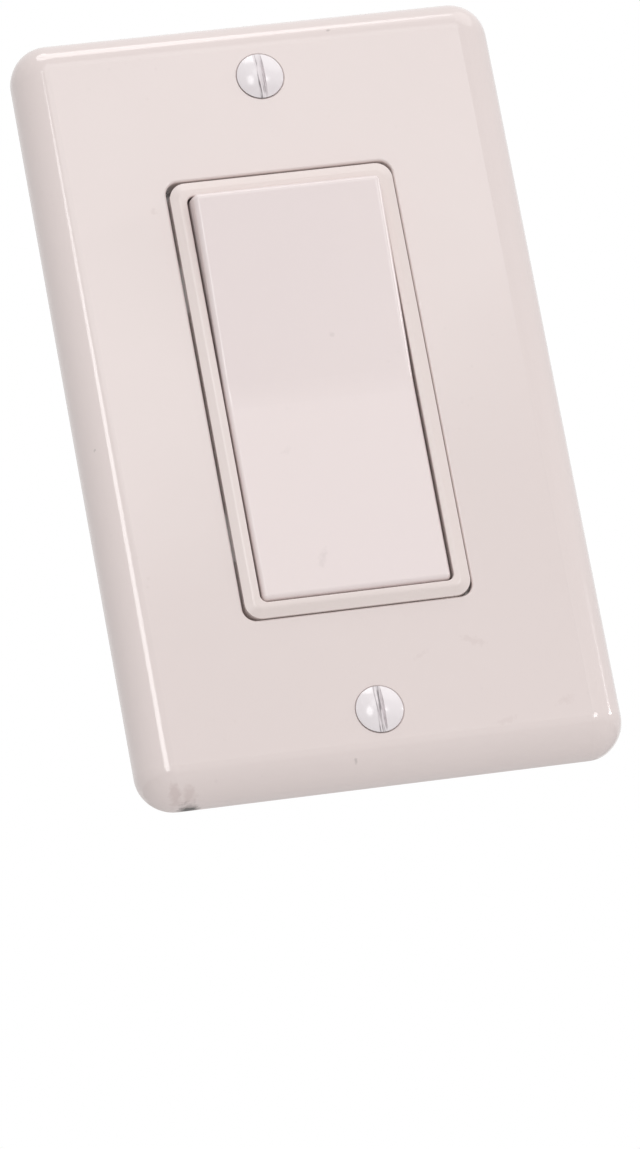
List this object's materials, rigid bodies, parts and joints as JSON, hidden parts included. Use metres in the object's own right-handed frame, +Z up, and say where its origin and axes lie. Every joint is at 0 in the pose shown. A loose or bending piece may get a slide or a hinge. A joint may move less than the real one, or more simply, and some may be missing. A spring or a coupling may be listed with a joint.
{
  "type": "paddle wall switch",
  "caption": "Paddle light switch in a smooth screwed cover plate, with its strap, back body, terminals and working contact mechanism.",
  "frame": {"origin": "centre of the switch on the plane of the finished wall, midway between its two box screws", "axes": "+Y into the wall, so the front faces -Y; +Z up; +X to the right of a person facing the switch"},
  "size_m": [0.0706, 0.0358, 0.116],
  "materials": {
    "plate_plastic": "glossy",
    "housing_plastic": "satin",
    "paddle_plastic": "satin",
    "painted_screw": "glossy",
    "plated_steel": "satin",
    "rivet_steel": "satin",
    "fibre": "matte",
    "body_plastic": "matte",
    "brass": "satin",
    "green_screw": "satin",
    "contact_silver": "satin",
    "plunger_plastic": "satin",
    "spring_steel": "satin"
  },
  "bodies": {
    "switch": {"wall_plate": "plate_plastic", "upper_plate_screw": "painted_screw", "lower_plate_screw": "painted_screw", "front_housing": "housing_plastic", "mounting_strap": "plated_steel", "insulating_sheet": "fibre", "back_body": "body_plastic", "upper_rivet": "rivet_steel", "lower_rivet": "rivet_steel", "upper_mounting_screw": "plated_steel", "lower_mounting_screw": "plated_steel", "upper_screw_retainer": "fibre", "lower_screw_retainer": "fibre", "line_terminal": "brass", "load_terminal": "brass", "line_terminal_screw": "brass", "load_terminal_screw": "brass", "ground_screw": "green_screw", "fixed_contact": "contact_silver"},
    "paddle": {"rocker_paddle": "paddle_plastic", "plunger_spring": "spring_steel"},
    "plunger": {"plunger": "plunger_plastic"},
    "bridge": {"contact_bridge": "brass", "moving_contact": "contact_silver"}
  },
  "joints": [
    {"name": "paddle_rock", "type": "hinge", "parent": "switch", "child": "paddle", "pos_m": [0, -0.00225, 0], "axis": [-1, 0, 0], "range_deg": [0, 6.3]},
    {"name": "bridge_tip", "type": "hinge", "parent": "switch", "child": "bridge", "pos_m": [0, 0.01551, 0], "axis": [1, 0, 0], "range_deg": [0, 16.6]},
    {"name": "plunger_slide", "type": "slide", "parent": "paddle", "child": "plunger", "axis": [0, -0.9985, -0.055], "range_m": [0, 0.0012], "stiffness_N_per_m": 100, "deforming": ["plunger_spring"]}
  ],
  "couplings": [
    {"joint": "bridge_tip", "follows": "paddle_rock", "ratio": 2.6349}
  ]
}
